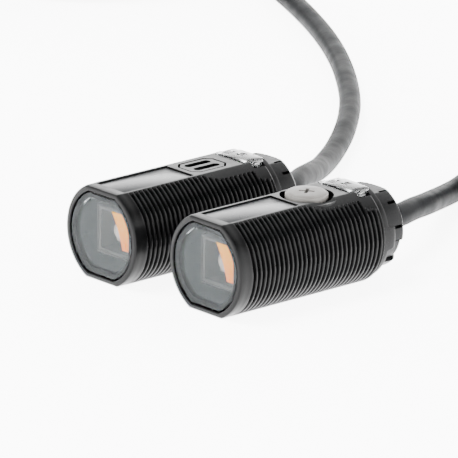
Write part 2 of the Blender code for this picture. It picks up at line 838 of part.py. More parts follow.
def cable_and_coil(head, prefix, route, turn_side, colors):
    """The laid-out stretch, the coil that it runs into, the coil's tie and the bared cores at the far end.

    turn_side is 1 where the coil turns left as the cable runs into it, and -1 where it turns right.
    """
    spacing = 2.2 * CABLE_DIAMETER
    path = [Vector(point) for point in smooth_path(route, spacing)]
    coiled = CABLE_LENGTH - path_length(path)
    mean_radius = coiled / COIL_TURNS / math.tau
    inner, outer = mean_radius - COIL_SECTION / 2, mean_radius + COIL_SECTION / 2
    heading = (path[-1] - path[-2]).normalized()
    to_center = Vector((-heading.y, heading.x, 0)) * turn_side
    center = path[-1] + to_center * (outer - CABLE_DIAMETER / 2)
    center.z = 0
    reach = outer + CABLE_DIAMETER / 2 + GAP
    laid_out = [point for point in path if (point.xy - center.xy).length > reach]
    tube(head, prefix + "_cable", laid_out, CABLE_DIAMETER, (CABLE_GREY, 0.6))

    low, high, chamfer = FLOOR, FLOOR + COIL_SECTION, CABLE_DIAMETER * 0.3
    section = [
        (inner + chamfer, high),
        (outer - chamfer, high),
        (outer, high - chamfer),
        (outer, low + chamfer),
        (outer - chamfer, low),
        (inner + chamfer, low),
        (inner, low + chamfer),
        (inner, high - chamfer),
    ]
    coil = turned(head, prefix + "_cable_coil", section, (CABLE_GREY, 0.6), axis="Z")
    coil.location = center

    tie_angle = math.atan2(to_center.y, to_center.x)
    strap_low, strap_high = low, high + GAP + TIE_THICKNESS
    hollow_in = math.sqrt(inner**2 - (TIE_WIDTH / 2) ** 2) * math.cos(math.pi / SEGMENTS) - GAP
    strap_in, strap_out = hollow_in - TIE_THICKNESS, outer + GAP + TIE_THICKNESS
    tie = box(
        head,
        prefix + "_coil_tie",
        (strap_in, -TIE_WIDTH / 2, strap_low),
        (strap_out, TIE_WIDTH / 2, strap_high),
        (DARK_RUBBER, 0.7),
    )
    hollow = box(
        head,
        prefix + "_tie_hollow",
        (hollow_in, -TIE_WIDTH, low + TIE_THICKNESS),
        (outer + GAP, TIE_WIDTH, high + GAP),
        cutter=True,
    )
    groove = box(
        head,
        prefix + "_tie_groove",
        (0, -TIE_WIDTH / 2 - GAP, low - GAP),
        (outer + BIG, TIE_WIDTH / 2 + GAP, low + TIE_THICKNESS + GAP),
        cutter=True,
    )
    for piece in (tie, hollow, groove):
        piece.location = center
        piece.rotation_euler.z = tie_angle
    boolean(tie, hollow)
    boolean(coil, groove)

    start_angle = math.atan2(-to_center.y, -to_center.x)
    for index, color in enumerate(colors):
        radius = inner - GAP - (1.0 + 1.6 * index) * CORE_DIAMETER
        height = FLOOR + CORE_DIAMETER / 2 + CORE_CLEARANCE
        count = 10
        sweep = CORE_LENGTH / (inner * 0.7)
        points = []
        for step in range(count + 1):
            angle = start_angle + turn_side * sweep * step / count
            bend = radius - 0.12 * inner * step / count
            points.append(center + Vector((bend * math.cos(angle), bend * math.sin(angle), height)))
        tube(head, f"{prefix}_core_{color}", points, CORE_DIAMETER, (LEAD_COLORS[color], 0.5))


def head_frame(name, x, y):
    frame = bpy.data.objects.new(name, None)
    PARTS.objects.link(frame)
    frame.location = (x, y, AXIS_HEIGHT)
    return frame


def receiver():
    head = head_frame("receiver_axis", HEAD_SPACING / 2, RECEIVER_FRONT)
    boss, well = adjuster_opening(head, "receiver")
    barrel_case(head, "receiver", boss, well)
    lens_and_gasket(head, "receiver")
    optics(head, "receiver", "photodiode")
    board(head, "receiver", "signal_ic", has_driver=True)
    indicator(
        head,
        "receiver",
        [
            ("stability_led", "left", (0.05, 0.55, 0.12)),
            ("operation_led", "right", (0.85, 0.30, 0.03)),
        ],
    )
    label_plate(head, "receiver")
    adjuster(head)
    end_cap(head, "receiver")
    inner_leads(head, "receiver", ["brown", "black", "blue"])
    cable_and_coil(head, "receiver", RECEIVER_ROUTE, -1, ["brown", "black", "blue"])


def emitter():
    head = head_frame("emitter_axis", -HEAD_SPACING / 2, EMITTER_FRONT)
    plug_opening = box(
        head,
        "plug_opening",
        (-BLANK_HALF_WIDTH, ADJUSTER_Y - BLANK_HALF_LENGTH, OPENING_LOW),
        (BLANK_HALF_WIDTH, ADJUSTER_Y + BLANK_HALF_LENGTH, BIG),
        cutter=True,
    )
    barrel_case(head, "emitter", [], [plug_opening])
    lens_and_gasket(head, "emitter")
    optics(head, "emitter", "light_source")
    board(head, "emitter", "driver_ic", has_driver=False)
    indicator(head, "emitter", [("power_led", "left", (0.05, 0.55, 0.12))])
    label_plate(head, "emitter")
    blanking_plug(head)
    end_cap(head, "emitter")
    inner_leads(head, "emitter", ["brown", "blue"])
    cable_and_coil(head, "emitter", EMITTER_ROUTE, 1, ["brown", "blue"])


receiver()
emitter()
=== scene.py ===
import json
import math

import bmesh
import bpy
import numpy as np
from mathutils import Matrix, Vector
from mathutils.geometry import interpolate_bezier


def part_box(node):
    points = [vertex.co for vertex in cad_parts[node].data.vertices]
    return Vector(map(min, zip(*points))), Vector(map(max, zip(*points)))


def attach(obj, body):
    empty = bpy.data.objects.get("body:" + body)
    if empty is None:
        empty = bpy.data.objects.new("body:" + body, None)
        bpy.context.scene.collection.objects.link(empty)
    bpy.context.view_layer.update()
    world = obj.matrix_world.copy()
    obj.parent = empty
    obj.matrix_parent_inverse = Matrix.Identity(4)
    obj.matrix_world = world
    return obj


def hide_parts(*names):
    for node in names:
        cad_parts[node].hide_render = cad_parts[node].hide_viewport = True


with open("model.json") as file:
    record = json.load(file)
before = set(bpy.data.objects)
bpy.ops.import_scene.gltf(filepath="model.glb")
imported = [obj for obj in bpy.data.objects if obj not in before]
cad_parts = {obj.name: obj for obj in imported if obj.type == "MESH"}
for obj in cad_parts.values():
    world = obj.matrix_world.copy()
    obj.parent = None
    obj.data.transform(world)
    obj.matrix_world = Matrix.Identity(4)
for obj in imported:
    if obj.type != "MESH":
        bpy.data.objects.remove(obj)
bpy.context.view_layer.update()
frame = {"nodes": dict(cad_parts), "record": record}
nodes = frame["nodes"]

MM = 0.001
TAU = math.tau
ROOT = "heads"

# ---------------------------------------------------------------- camera

AZIMUTH, ELEVATION, ROLL = 47.84, 17.43, 0.69
CAMERA_DISTANCE = 1.0009
CAMERA_TARGET = Vector((1.07, -3.2, 8.92)) * MM
LENS_LENGTH = 472.3


def make_camera():
    azimuth, elevation, roll = (math.radians(a) for a in (AZIMUTH, ELEVATION, ROLL))
    right = Vector((math.cos(azimuth), math.sin(azimuth), 0))
    back = Vector(
        (
            math.sin(azimuth) * math.cos(elevation),
            -math.cos(azimuth) * math.cos(elevation),
            math.sin(elevation),
        )
    )
    up = back.cross(right)
    rolled_right = math.cos(roll) * right + math.sin(roll) * up
    rolled_up = -math.sin(roll) * right + math.cos(roll) * up
    data = bpy.data.cameras.new("camera")
    data.lens = LENS_LENGTH
    data.sensor_width = 36
    data.clip_start, data.clip_end = 0.05, 100
    camera = bpy.data.objects.new("camera", data)
    turn = Matrix((rolled_right, rolled_up, back)).transposed().to_4x4()
    camera.matrix_world = Matrix.Translation(CAMERA_TARGET + back * CAMERA_DISTANCE) @ turn
    bpy.context.scene.collection.objects.link(camera)
    bpy.context.scene.camera = camera


make_camera()

# ---------------------------------------------------------------- materials


class Paint:
    """A Principled material whose colour, roughness and relief come from noise in the object's own metres."""

    def __init__(self, name, **settings):
        self.material = bpy.data.materials.new(name)
        self.material.use_nodes = True
        self.tree = self.material.node_tree
        self.shader = self.tree.nodes["Principled BSDF"]
        self.place = self.node("ShaderNodeTexCoord").outputs["Object"]
        for socket, value in settings.items():
            self.shader.inputs[socket.replace("_", " ")].default_value = value

    def node(self, kind, **settings):
        made = self.tree.nodes.new(kind)
        for key, value in settings.items():
            setattr(made, key, value)
        return made

    def link(self, source, target):
        self.tree.links.new(source, target)

    def noise(self, size_mm, detail=3.0, stretch=(1, 1, 1), distortion=0.0):
        mapping = self.node("ShaderNodeMapping")
        mapping.inputs["Scale"].default_value = [1 / (size_mm * MM) * s for s in stretch]
        self.link(self.place, mapping.inputs["Vector"])
        noise = self.node("ShaderNodeTexNoise")
        noise.inputs["Scale"].default_value = 1.0
        noise.inputs["Detail"].default_value = detail
        noise.inputs["Distortion"].default_value = distortion
        self.link(mapping.outputs["Vector"], noise.inputs["Vector"])
        return noise.outputs["Fac"]

    def ramp(self, source, stops):
        ramp = self.node("ShaderNodeValToRGB")
        while len(ramp.color_ramp.elements) < len(stops):
            ramp.color_ramp.elements.new(0.5)
        for element, (position, color) in zip(ramp.color_ramp.elements, stops):
            element.position = position
            element.color = (*color, 1)
        self.link(source, ramp.inputs["Fac"])
        return ramp.outputs["Color"]

    def remap(self, source, low, high):
        remap = self.node("ShaderNodeMapRange")
        remap.inputs["From Min"].default_value = 0.3
        remap.inputs["From Max"].default_value = 0.7
        remap.inputs["To Min"].default_value = low
        remap.inputs["To Max"].default_value = high
        self.link(source, remap.inputs["Value"])
        return remap.outputs["Result"]

    def mix(self, factor, first, second):
        mix = self.node("ShaderNodeMix", data_type="RGBA")
        self.link(factor, mix.inputs["Factor"])
        for socket, value in ((mix.inputs[6], first), (mix.inputs[7], second)):
            if isinstance(value, tuple):
                socket.default_value = (*value, 1)
            else:
                self.link(value, socket)
        return mix.outputs[2]

    def color(self, source):
        self.link(source, self.shader.inputs["Base Color"])
        return self

    def roughness(self, size_mm, low, high, **more):
        self.link(self.remap(self.noise(size_mm, **more), low, high), self.shader.inputs["Roughness"])
        return self

    def bump(self, size_mm, height_mm, strength=1.0, **more):
        bump = self.node("ShaderNodeBump")
        bump.inputs["Strength"].default_value = strength
        bump.inputs["Distance"].default_value = height_mm * MM
        self.link(self.noise(size_mm, **more), bump.inputs["Height"])
        self.link(bump.outputs["Normal"], self.shader.inputs["Normal"])
        return self


def mottled(name, dark, light, rough, size_mm=2.0, grain_mm=0.15, grain_height_mm=0.004, **settings):
    """Moulded plastic or rubber: two close tones, an uneven sheen and a fine grain."""
    paint = Paint(name, **settings)
    paint.color(paint.ramp(paint.noise(size_mm), [(0.3, dark), (0.7, light)]))
    paint.roughness(size_mm * 0.6, *rough)
    paint.bump(grain_mm, grain_height_mm)
    return paint


def painted_edge_highlight(paint, dark, light, highlight_color, size_mm=3.0):
    """Lightens the raised edges a little: a painted highlight along the thread crests."""
    pointed = paint.node("ShaderNodeNewGeometry").outputs["Pointiness"]
    edge = paint.node("ShaderNodeMapRange")
    edge.inputs["From Min"].default_value = 0.52
    edge.inputs["From Max"].default_value = 0.62
    paint.link(pointed, edge.inputs["Value"])
    base = paint.ramp(paint.noise(size_mm), [(0.3, dark), (0.7, light)])
    paint.color(paint.mix(edge.outputs["Result"], base, highlight_color))
    return paint


def make_paints():
    barrel = Paint("barrel_black_plastic", IOR=1.5, Specular_IOR_Level=0.085)
    # The last colour is a painted highlight on the raised edges of the thread.
    painted_edge_highlight(barrel, (0.0007, 0.00075, 0.0008), (0.0013, 0.00135, 0.00145), (0.0034, 0.0036, 0.0038))
    barrel.roughness(1.6, 0.27, 0.35)
    barrel.bump(0.12, 0.003)
    cap = mottled(
        "cap_black_plastic",
        (0.0010, 0.00105, 0.00115),
        (0.0018, 0.0019, 0.0021),
        (0.32, 0.42),
        Specular_IOR_Level=0.085,
    )
    cable = Paint("cable_grey_jacket", IOR=1.5, Specular_IOR_Level=0.02)
    jacket = [(0.3, (0.0082, 0.0085, 0.0089)), (0.7, (0.0110, 0.0113, 0.0117))]
    cable.color(cable.ramp(cable.noise(5.0, detail=5), jacket))
    cable.roughness(3.0, 0.42, 0.56)
    cable.bump(0.5, 0.02, detail=6)
    # The index is set low. Real acrylic or polycarbonate is 1.49 to 1.58.
    lens = Paint("clear_lens_plastic", IOR=1.17, Transmission_Weight=1.0, Specular_Tint=(0.86, 1.0, 1.04, 1))
    lens.color(lens.ramp(lens.noise(6.0), [(0.3, (0.90, 0.945, 0.95)), (0.7, (0.94, 0.97, 0.975))]))
    lens.roughness(2.0, 0.015, 0.035)
    window = Paint("clear_window_plastic", IOR=1.5, Transmission_Weight=1.0)
    window.color(window.ramp(window.noise(2.0), [(0.3, (0.86, 0.88, 0.88)), (0.7, (0.95, 0.96, 0.96))]))
    window.roughness(1.0, 0.05, 0.14)
    knob = mottled(
        "knob_white_plastic",
        (0.115, 0.109, 0.101),
        (0.148, 0.141, 0.132),
        (0.36, 0.46),
        size_mm=3.0,
        Specular_IOR_Level=0.1,
    )
    label = Paint("label_satin_grey", IOR=1.5, Specular_IOR_Level=0.3)
    satin = [(0.3, (0.020, 0.0205, 0.0212)), (0.7, (0.026, 0.0266, 0.0274))]
    label.color(label.ramp(label.noise(4.0, stretch=(1, 6, 1)), satin))
    label.roughness(0.9, 0.27, 0.31)
    label.bump(0.2, 0.002)
    # The real film gives off no light: the glow stands for the light it catches.
    film = Paint("amber_film", IOR=1.6, Emission_Strength=1.9, Specular_IOR_Level=0.02)
    height = film.node("ShaderNodeSeparateXYZ")
    film.link(film.place, height.inputs["Vector"])
    rise = film.node("ShaderNodeMapRange")
    rise.inputs["From Min"].default_value = 5.0 * MM
    rise.inputs["From Max"].default_value = 12.5 * MM
    film.link(height.outputs["Z"], rise.inputs["Value"])
    glow = film.ramp(
        rise.outputs["Result"], [(0.0, (1.0, 0.19, 0.0)), (0.45, (1.0, 0.32, 0.0)), (1.0, (1.0, 0.42, 0.0))]
    )
    film.color(film.ramp(film.noise(2.0), [(0.3, (0.05, 0.012, 0.0)), (0.7, (0.07, 0.018, 0.0))]))
    film.link(glow, film.shader.inputs["Emission Color"])
    film.roughness(1.0, 0.2, 0.35)
    board = Paint("board_green_mask", IOR=1.5)
    mask = [(0.45, (0.01, 0.07, 0.03)), (0.55, (0.02, 0.12, 0.05))]
    board.color(board.ramp(board.noise(0.6, detail=1), mask))
    board.roughness(1.0, 0.25, 0.4)
    board.bump(0.4, 0.01)
    can = Paint("capacitor_can", Metallic=1.0)
    brushed = [(0.3, (0.5, 0.5, 0.52)), (0.7, (0.68, 0.68, 0.7))]
    can.color(can.ramp(can.noise(0.8, stretch=(1, 1, 8)), brushed))
    can.roughness(0.5, 0.25, 0.4)
    return {
        "barrel": barrel,
        "end_cap": cap,
        "clear_optic": lens,
        "window": window,
        "rubber": mottled(
            "rubber_black",
            (0.0025, 0.0025, 0.0026),
            (0.0045, 0.0045, 0.0048),
            (0.5, 0.7),
            Specular_IOR_Level=0.06,
        ),
        "holder": mottled(
            "holder_grey_plastic",
            (0.028, 0.024, 0.022),
            (0.040, 0.034, 0.032),
            (0.4, 0.55),
            Specular_IOR_Level=0.09,
        ),
        "device": mottled(
            "device_pale_resin",
            (0.17, 0.14, 0.125),
            (0.24, 0.195, 0.175),
            (0.15, 0.3),
            Specular_IOR_Level=0.2,
        ),
        "film": film,
        "board": board,
        "chip": mottled("chip_black_epoxy", (0.012, 0.012, 0.013), (0.022, 0.022, 0.024), (0.5, 0.7)),
        "can": can,
        "green_led": mottled("led_green_resin", (0.05, 0.35, 0.06), (0.1, 0.5, 0.12), (0.1, 0.25)),
        "orange_led": mottled("led_orange_resin", (0.6, 0.2, 0.02), (0.8, 0.3, 0.04), (0.1, 0.25)),
        "label": label,
        "knob": knob,
        "trimmer": mottled("trimmer_blue", (0.02, 0.07, 0.25), (0.03, 0.1, 0.34), (0.35, 0.5)),
        "plug": mottled(
            "plug_black_plastic",
            (0.0007, 0.00075, 0.0008),
            (0.0013, 0.00135, 0.00145),
            (0.26, 0.34),
            Specular_IOR_Level=0.085,
        ),
        "cable": cable,
        "brown_core": mottled("core_brown_pvc", (0.075, 0.028, 0.012), (0.11, 0.042, 0.02), (0.35, 0.5)),
        "black_core": mottled("core_black_pvc", (0.012, 0.012, 0.012), (0.025, 0.025, 0.026), (0.35, 0.5)),
        "blue_core": mottled("core_blue_pvc", (0.02, 0.08, 0.38), (0.035, 0.12, 0.5), (0.35, 0.5)),
        # Painted shade for the dark blocks in the window's pockets.
        "window_dark": mottled("window_painted_shade", (0.010, 0.010, 0.011), (0.03, 0.03, 0.032), (0.3, 0.5)),
    }


paints = make_paints()

# ---------------------------------------------------------------- mesh helpers


def piece(
    name, paint_names, slot=None, body=ROOT, stands_for=(), verts=None, faces=None, mesh=None, sharp=35
):
    """A mesh in metres becomes a shown piece that rides on a body."""
    if mesh is None:
        mesh = bpy.data.meshes.new(name)
        mesh.from_pydata([tuple(v) for v in np.asarray(verts, float)], [], faces)
    mesh.validate()
    bm = bmesh.new()
    bm.from_mesh(mesh)
    bmesh.ops.remove_doubles(bm, verts=bm.verts, dist=1e-7)
    bmesh.ops.dissolve_degenerate(bm, edges=bm.edges, dist=1e-8)
    bmesh.ops.recalc_face_normals(bm, faces=bm.faces)
    bm.to_mesh(mesh)
    bm.free()
    mesh.shade_smooth()
    mesh.set_sharp_from_angle(angle=math.radians(sharp))
    obj = bpy.data.objects.new(name, mesh)
    bpy.context.scene.collection.objects.link(obj)
    for paint in paint_names:
        mesh.materials.append(paints[paint].material)
    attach(obj, body)
    if stands_for:
        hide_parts(*stands_for)
    return obj


def rings_to_faces(count, size, closed_rows=False, caps=True):
    """Quads between rows of points that each run once round."""
    faces = []
    last = count if closed_rows else count - 1
    for row in range(last):
        low, high = row * size, ((row + 1) % count) * size
        for k in range(size):
            following = (k + 1) % size
            faces.append((low + k, low + following, high + following, high + k))
    if caps and not closed_rows:
        faces.append(tuple(range(size)))
        faces.append(tuple(range((count - 1) * size, count * size)))
    return faces


def spun(profile, segments, axis="Y", origin=(0, 0, 0), squeeze=None):
    """Rings of a profile of (radius, height) pairs about an axis, in mm."""
    rows = []
    for radius, height in profile:
        for k in range(segments):
            angle = TAU * k / segments
            a, b = radius * math.cos(angle), radius * math.sin(angle)
            point = (a, height, b) if axis == "Y" else (a, b, height)
            if squeeze:
                point = squeeze(point)
            rows.append(point)
    return np.array(rows) + np.array(origin)


def smoothstep(value, low, high):
    t = np.clip((value - low) / (high - low), 0, 1)
    return t * t * (3 - 2 * t)


def temporary(verts, faces):
    mesh = bpy.data.meshes.new("temporary")
    mesh.from_pydata([tuple(v) for v in np.asarray(verts, float)], [], faces)
    bm = bmesh.new()
    bm.from_mesh(mesh)
    bmesh.ops.recalc_face_normals(bm, faces=bm.faces)
    bm.to_mesh(mesh)
    bm.free()
    obj = bpy.data.objects.new("temporary", mesh)
    bpy.context.scene.collection.objects.link(obj)
    return obj


def cut(base, cutters, operation="DIFFERENCE"):
    """The mesh of the base after each cutter has been applied; the helpers are removed."""
    for cutter in cutters:
        modifier = base.modifiers.new("cut", "BOOLEAN")
        modifier.operation = operation
        modifier.solver = "MANIFOLD"
        modifier.object = cutter
        graph = bpy.context.evaluated_depsgraph_get()
        made = bpy.data.meshes.new_from_object(base.evaluated_get(graph))
        base.modifiers.clear()
        old, base.data = base.data, made
        bpy.data.meshes.remove(old)
        bpy.data.objects.remove(cutter)
    return base


def block(low, high, bevel=0.0, turn=0.0, segments=3, about="Y"):
    """A box with rounded edges, turned about an axis through the origin, as a helper object in mm."""
    bm = bmesh.new()
    bmesh.ops.create_cube(bm, size=1)
    for v in bm.verts:
        v.co = [l + (h - l) * (c + 0.5) for l, h, c in zip(low, high, v.co)]
    if bevel:
        bmesh.ops.bevel(bm, geom=bm.edges[:], offset=bevel, segments=segments, profile=0.5, affect="EDGES")
    bmesh.ops.transform(bm, matrix=Matrix.Rotation(turn, 4, about), verts=bm.verts)
    mesh = bpy.data.meshes.new("temporary")
    bm.to_mesh(mesh)
    bm.free()
    obj = bpy.data.objects.new("temporary", mesh)
    bpy.context.scene.collection.objects.link(obj)
    return obj


def rod(radius, center, low, high, segments=64):
    """A round helper solid that stands along Z, in mm."""
    points = spun([(radius, low), (radius, high)], segments, "Z", (*center, 0))
    return temporary(points, rings_to_faces(2, segments))


def finished(helper, name, paint_names, axis_origin, **more):
    """Turns a helper object in mm into a shown piece at its head's axis."""
    mesh = helper.data.copy()
    bpy.data.objects.remove(helper)
    mesh.transform(Matrix.Translation(axis_origin) @ Matrix.Scale(MM, 4))
    mesh.materials.clear()
    return piece(name, paint_names, mesh=mesh, **more)


def axis_of(head):
    low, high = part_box(head + "_barrel_case")
    return Vector(((low.x + high.x) / 2, low.y, (low.z + high.z) / 2))


axes = {head: axis_of(head) for head in ("receiver", "emitter")}

# Distances in mm from a head's front face, and a height above all that stands on it.
ADJUSTER_Y = 22.5
HEAD_LENGTH = 38.5
ABOVE = 9.0
CUTTER_TOP = 9.5

# ---------------------------------------------------------------- cords

CABLE_DIAMETER = 4.0
CABLE_LENGTH = 2000.0
COIL_TURNS = 14
COIL_COLUMNS, COIL_LAYERS = 4, 4
COIL_SECTION = 16.0
TURN_ARC, TURN_CHANGE = 315.0, 85.0  # degrees, and the share of them that moves to the next place
TIE_NEAR, TIE_FAR = 3, 36  # degrees from the tie over which the turns rise
CORE_DIAMETER = 1.2
CORE_LENGTH = 30.0
CABLE_SIDES = 20

ROUTES = {
    "receiver": [
        (0, 33.4, 8.0), (0, 38.5, 8.0), (-0.9, 44.2, 7.7), (-3.8, 50.5, 7.0), (-6.9, 56.3, 5.9),
        (-11.7, 63.8, 4.2), (-16.4, 71.2, 2.6), (-19.0, 76.4, 2.1), (-22.8, 84.1, 2.05), (-26.7, 91.0, 2.05),
    ],
    "emitter": [
        (0, 33.4, 8.0), (0, 38.5, 8.0), (-1.3, 43.6, 7.6), (-6.4, 51.3, 6.6), (-11.4, 58.3, 5.0),
        (-18.0, 66.9, 3.0), (-26.1, 77.6, 2.05), (-35.0, 88.5, 2.05), (-45.9, 99.8, 2.05),
        (-58.0, 110.2, 2.05), (-71.1, 120.0, 2.05), (-85.3, 129.1, 2.05), (-100.7, 137.5, 2.05),
        (-116.0, 144.8, 2.05), (-132.0, 151.5, 2.05), (-148.0, 157.0, 2.05),
    ],
}
TURN_SIDE = {"receiver": -1, "emitter": 1}
CORE_COLORS = {"receiver": ("brown", "black", "blue"), "emitter": ("brown", "blue")}


def smooth_path(route, spacing):
    """Points about one spacing apart on a Catmull-Rom curve through the route's own points."""
    points = [Vector(point) for point in route]
    ends = [points[0] * 2 - points[1], *points, points[-1] * 2 - points[-2]]
    made = []
    for before, start, end, after in zip(ends, ends[1:], ends[2:], ends[3:]):
        steps = max(1, round((end - start).length / spacing))
        tangent_in, tangent_out = (end - before) / 6, (after - start) / 6
        made += interpolate_bezier(start, start + tangent_in, end - tangent_out, end, steps + 1)[:-1]
    return [Vector(point) for point in made] + [points[-1]]


def path_length(points):
    return sum((end - start).length for start, end in zip(points, points[1:]))


def tube(points, radius, sides, end_round=0.0):
    """A round tube along points, its frames carried along without twist, in mm."""
    points = [Vector(p) for p in points]
    tangents = []
    for k in range(len(points)):
        tangents.append((points[min(k + 1, len(points) - 1)] - points[max(k - 1, 0)]).normalized())
    normal = tangents[0].cross(Vector((0, 0, 1)))
    if normal.length < 0.1:
        normal = tangents[0].cross(Vector((1, 0, 0)))
    normal.normalize()
    rows, stations = [], []
    for k, point in enumerate(points):
        normal = (normal - tangents[k] * normal.dot(tangents[k])).normalized()
        stations.append((point, tangents[k], normal.copy()))
    rings = []
    if end_round:
        first, last = stations[0], stations[-1]
        for share in (1.0, 0.6, 0.2):
            rings.append((first[0] - first[1] * end_round * share, first[2], first[1], 1 - 0.35 * share**2))
    rings += [(p, n, t, 1.0) for p, t, n in stations]
    if end_round:
        for share in (0.2, 0.6, 1.0):
            rings.append((last[0] + last[1] * end_round * share, last[2], last[1], 1 - 0.35 * share**2))
    for point, side, tangent, share in rings:
        other = tangent.cross(side)
        for j in range(sides):
            angle = TAU * j / sides
            rows.append(point + (side * math.cos(angle) + other * math.sin(angle)) * radius * share)
    return np.array([tuple(v) for v in rows]), rings_to_faces(len(rings), sides)


class Coil:
    """Where a head's spare cable is wound: four columns of four turns, held by one tie."""

    def __init__(self, head):
        coarse = smooth_path(ROUTES[head], 2.2 * CABLE_DIAMETER)
        self.turn = TURN_SIDE[head]
        self.length = CABLE_LENGTH - path_length(coarse)
        self.mean = self.length / COIL_TURNS / TAU
        self.inner, self.outer = self.mean - COIL_SECTION / 2, self.mean + COIL_SECTION / 2
        heading = (coarse[-1] - coarse[-2]).normalized()
        inward = Vector((-heading.y, heading.x, 0)) * self.turn
        self.center = coarse[-1] + inward * (self.outer - CABLE_DIAMETER / 2)
        self.center.z = 0
        self.start = math.atan2(-inward.y, -inward.x)
        self.tie_angle = math.atan2(inward.y, inward.x)

    def at(self, radius, angle, height):
        return self.center + Vector((radius * math.cos(angle), radius * math.sin(angle), height))

    def slots(self):
        made = []
        for column in range(COIL_COLUMNS):
            layers = range(COIL_LAYERS) if column % 2 == 0 else reversed(range(COIL_LAYERS))
            for layer in layers:
                made.append((self.mean + 6.0 - CABLE_DIAMETER * column, layer))
        return made

    def points(self, step_degrees=6.0):
        """The turns, whose last part moves over to the next place."""
        slots = self.slots()
        arc, change = TURN_ARC, TURN_CHANGE
        total = arc * len(slots)
        made = []
        for k in range(1, round(total / step_degrees) + 1):
            degrees = min(k * step_degrees, total)
            index = min(int(degrees // arc), len(slots) - 1)
            within = degrees - index * arc
            share = float(smoothstep(within, arc - change, arc))
            radius, layer = slots[index]
            if index + 1 < len(slots):
                next_radius, next_layer = slots[index + 1]
            else:
                next_radius, next_layer = self.inner - 2.6, 0
            radius += (next_radius - radius) * share
            layer += (next_layer - layer) * share
            angle = self.start + self.turn * math.radians(degrees)
            height = CABLE_DIAMETER / 2 + 0.05 + 3.98 * layer
            made.append(self.at(radius, angle, height + self.lift(angle, layer)))
        return made

    def lift(self, angle, layer):
        """The strap under the turns raises them a little, and squeezes them together."""
        away = abs((angle - self.tie_angle + math.pi) % TAU - math.pi)
        near = 1 - float(smoothstep(away, math.radians(TIE_NEAR), math.radians(TIE_FAR)))
        return near * (0.72 - 0.16 * layer)


def make_cable(head):
    origin = axes[head].copy()
    origin.z = 0
    coil = Coil(head)
    laid = smooth_path(ROUTES[head], 2.0)
    route = laid + coil.points()
    verts, faces = tube(route, CABLE_DIAMETER / 2, CABLE_SIDES, end_round=0.25)
    cable = piece(
        head + "_cord",
        ["cable"],
        verts=verts * MM + np.array(origin),
        faces=faces,
        stands_for=(head + "_cable", head + "_cable_coil"),
        sharp=50,
    )
    others = [make_tie(head, coil, origin), *make_cores(head, coil, origin, route)]


def make_tie(head, coil, origin):
    """A flat strap round the coil's section."""
    thickness, width, corner = 0.6, 5.0, 2.2
    low, high = 0.06, COIL_SECTION + 0.96
    left, right = coil.inner - 0.55, coil.outer + 0.55

    def outline(inset):
        made = []
        for cx, cz, first in (
            (right - corner, high - corner, 0),
            (left + corner, high - corner, 90),
            (left + corner, low + corner, 180),
            (right - corner, low + corner, 270),
        ):
            for step in range(7):
                angle = math.radians(first + 15 * step)
                reach = corner - inset
                made.append((cx + reach * math.cos(angle), cz + reach * math.sin(angle)))
        return made

    outside, inside = outline(0), outline(thickness)
    count = len(outside)
    rows = []
    bevel = 0.15
    for loop, across in (
        (outside, -width / 2 + bevel),
        (outside, width / 2 - bevel),
        (outline(bevel), width / 2),
        (outline(thickness - bevel), width / 2),
        (inside, width / 2 - bevel),
        (inside, -width / 2 + bevel),
        (outline(thickness - bevel), -width / 2),
        (outline(bevel), -width / 2),
    ):
        rows += [(x, across, z) for x, z in loop]
    verts = np.array(rows)
    faces = rings_to_faces(8, count, closed_rows=True)
    turn = Matrix.Rotation(coil.tie_angle, 4, "Z")
    place = Matrix.Translation(origin + coil.center * MM) @ turn @ Matrix.Scale(MM, 4)
    strap = temporary(verts, faces)
    mesh = strap.data.copy()
    bpy.data.objects.remove(strap)
    mesh.transform(place)
    tie = piece(head + "_strap", ["rubber"], mesh=mesh, stands_for=(head + "_coil_tie",), sharp=50)
    return tie


def make_cores(head, coil, origin, route):
    """The bared cores leave the jacket's end, spread a little and lie down inside the coil."""
    made = []
    heading = (route[-1] - route[-2]).normalized()
    sideways = Vector((-heading.y, heading.x, 0)) * coil.turn
    names = CORE_COLORS[head]
    for index, color in enumerate(names):
        slot = index - (len(names) - 1) / 2
        start = route[-1] - heading * 3.0 + sideways * slot * 1.1
        start.z = route[-1].z + (0.55 if index == 1 else -0.25)
        points = [start, start + heading * 4.0]
        count = 9
        for step in range(1, count + 1):
            share = step / count
            ahead = points[1] + heading * (CORE_LENGTH - 2) * share
            bend = sideways * (share**2 * (5.2 + slot * 3.2) + share * slot * 1.6)
            point = ahead + bend
            point.z = start.z + (CORE_DIAMETER / 2 + 0.05 - start.z) * float(smoothstep(share, 0, 0.35))
            points.append(point)
        fine = smooth_path(points, 1.0)
        verts, faces = tube(fine, CORE_DIAMETER / 2, 12, end_round=0.08)
        core = piece(
            f"{head}_wire_{color}",
            [color + "_core"],
            verts=verts * MM + np.array(origin),
            faces=faces,
            stands_for=(f"{head}_core_{color}",),
            sharp=50,
        )
        made.append(core)
    return made


for head in axes:
    make_cable(head)

# ---------------------------------------------------------------- barrels

PITCH = 1.0
CREST, GROOVE_DEPTH = 8.95, 0.6
BARREL_COLUMNS = 288
ROWS_PER_PITCH = 12
COLLAR_RADIUS, BORE_RADIUS = 7.36, 6.9
RECESS_RADIUS, RECESS_FLAT = 7.9, 7.15
THREAD_START, THREAD_END = 2.25, 32.1
FLAT = 8.0
SHOULDER = [
    (17.6, 62.3), (19.0, 60.5), (20.0, 55.0), (21.5, 51.2), (25.0, 50.5), (29.0, 51.0),
    (29.5, 42.0), (30.0, 38.3), (31.0, 38.0), (31.9, 36.0), (32.2, 33.0),
]


def thread_depth(y, angle):
    """A right-hand thread: full depth in the roots, none on the crests."""
    phase = np.abs((y / PITCH + angle / TAU) % 1.0 - 0.5) * 2
    return GROOVE_DEPTH * smoothstep(phase, 0.26, 0.78)


